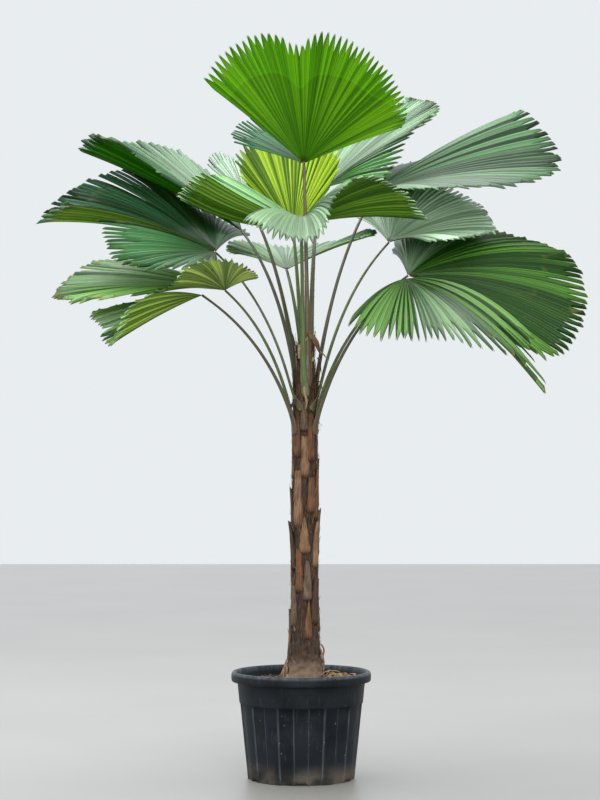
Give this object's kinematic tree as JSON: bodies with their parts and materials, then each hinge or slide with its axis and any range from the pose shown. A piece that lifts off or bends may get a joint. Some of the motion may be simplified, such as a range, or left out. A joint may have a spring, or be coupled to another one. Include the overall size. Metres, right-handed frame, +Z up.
{
  "type": "potted ruffled fan palm",
  "caption": "Potted ruffled fan palm: a slim fibrous trunk carries a crown of round pleated fan leaves on thin curved stalks, in a fluted black nursery pot.",
  "frame": {"origin": "middle of the pot's flat underside, where it stands on the floor", "axes": "+Z up along the trunk; -Y is the side seen in the picture; +X is to its right"},
  "size_m": [2.0271, 1.6656, 2.7475],
  "materials": {
    "charcoal_plastic": "matte",
    "soil": "matte",
    "leaf_base_fibre": "matte",
    "stalk_green": "satin",
    "leaf_bright": "satin",
    "leaf_lime": "satin",
    "leaf_mid": "satin",
    "leaf_dark": "satin",
    "leaf_olive": "satin",
    "leaf_blue": "satin",
    "leaf_grey": "satin"
  },
  "bodies": {
    "root": {"pot": "charcoal_plastic", "soil": "soil", "trunk": "leaf_base_fibre", "stalk_top": "stalk_green", "stalk_young": "stalk_green", "stalk_far_right": "stalk_green", "stalk_front": "stalk_green", "stalk_upper_left": "stalk_green", "stalk_left": "stalk_green", "stalk_low_left": "stalk_green", "stalk_mid_left": "stalk_green", "stalk_upper_right": "stalk_green", "stalk_mid_right": "stalk_green", "stalk_right": "stalk_green", "stalk_low_right": "stalk_green", "stalk_back": "stalk_green", "stalk_far_left": "stalk_green", "blade_top": "leaf_bright", "blade_young": "leaf_lime", "blade_far_right": "leaf_mid", "blade_front": "leaf_dark", "blade_upper_left": "leaf_bright", "blade_left": "leaf_dark", "blade_low_left": "leaf_olive", "blade_mid_left": "leaf_mid", "blade_upper_right": "leaf_blue", "blade_mid_right": "leaf_grey", "blade_right": "leaf_dark", "blade_low_right": "leaf_mid", "blade_back": "leaf_olive", "blade_far_left": "leaf_blue", "blade_front_split": "leaf_bright", "blade_top_split": "leaf_dark", "blade_left_skirt": "leaf_dark"}
  },
  "joints": []
}
